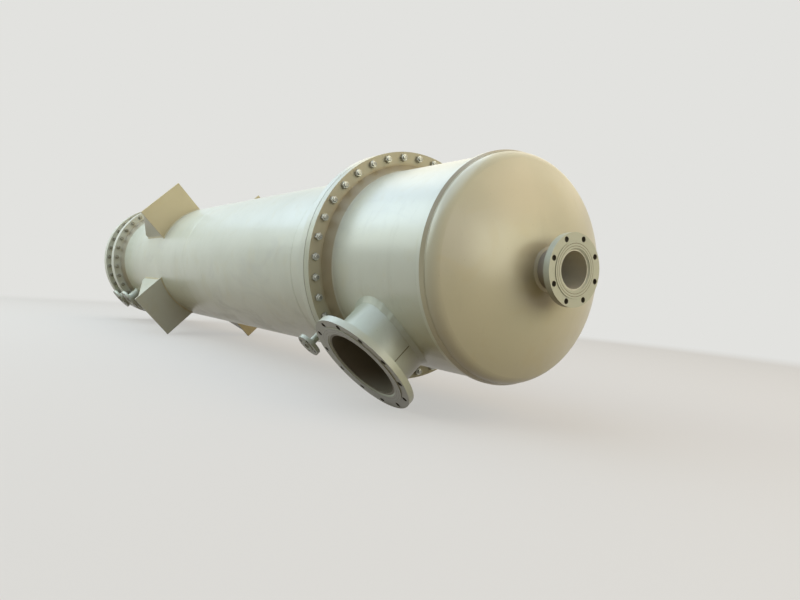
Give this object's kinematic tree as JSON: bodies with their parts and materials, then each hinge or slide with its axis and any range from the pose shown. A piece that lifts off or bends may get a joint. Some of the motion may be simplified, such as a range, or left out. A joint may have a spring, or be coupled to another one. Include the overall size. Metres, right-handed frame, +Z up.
{
  "type": "falling film absorber",
  "caption": "Long flanged steel absorber lying on its side, with a dished separator head, a flat bolted cover, flanged nozzles and support brackets.",
  "frame": {"origin": "on the floor, under the middle of the part's box, with the vessel lying level on two brackets and on the rim of its gas outlet", "axes": "+X along the vessel's axis, towards the dished separator head, which is the lower end in service; +Z up as it lies"},
  "size_m": [5.5792, 1.2056, 1.2056],
  "materials": {
    "shell_paint": "warm pale beige paint, smooth, satin",
    "head_paint": "warm pale beige paint on a pressed head, satin",
    "flange_paint": "warm pale beige paint over turned plate, a little dirt at the bolts",
    "nozzle_paint": "warm pale beige paint, with turned grooves on the raised faces",
    "bracket_paint": "warm pale beige paint over cut plate",
    "gasket_rubber": "dark sheet rubber",
    "zinc_plate": "zinc-plated bolts, dull with bright edges",
    "graphite": "resin-filled graphite, dark grey and dull"
  },
  "bodies": {
    "root": {"body_drain_flange": "nozzle_paint", "body_drain_pipe": "nozzle_paint", "body_lower_flange": "flange_paint", "body_shell": "shell_paint", "body_upper_flange": "flange_paint", "bracket_1_base_plate": "bracket_paint", "bracket_1_left_gusset": "bracket_paint", "bracket_1_right_gusset": "bracket_paint", "bracket_2_base_plate": "bracket_paint", "bracket_2_left_gusset": "bracket_paint", "bracket_2_right_gusset": "bracket_paint", "bracket_3_base_plate": "bracket_paint", "bracket_3_left_gusset": "bracket_paint", "bracket_3_right_gusset": "bracket_paint", "bracket_4_base_plate": "bracket_paint", "bracket_4_left_gusset": "bracket_paint", "bracket_4_right_gusset": "bracket_paint", "cooling_water_inlet_flange": "nozzle_paint", "cooling_water_inlet_pipe": "nozzle_paint", "cooling_water_outlet_flange": "nozzle_paint", "cooling_water_outlet_pipe": "nozzle_paint", "cover_gasket": "gasket_rubber", "cover_plate": "flange_paint", "gas_inlet_flange": "nozzle_paint", "gas_inlet_pipe": "nozzle_paint", "gas_outlet_flange": "nozzle_paint", "gas_outlet_pipe": "nozzle_paint", "head_band": "head_paint", "liquid_feed_flange": "nozzle_paint", "liquid_feed_pipe": "nozzle_paint", "liquid_outlet_flange": "nozzle_paint", "liquid_outlet_pipe": "nozzle_paint", "lower_tube_sheet": "graphite", "separator_flange": "flange_paint", "separator_gasket": "gasket_rubber", "separator_head": "head_paint", "separator_shell": "shell_paint", "spool_gasket": "gasket_rubber", "spool_lower_flange": "flange_paint", "spool_shell": "shell_paint", "spool_upper_flange": "flange_paint", "upper_tube_sheet": "graphite"}
  },
  "joints": []
}
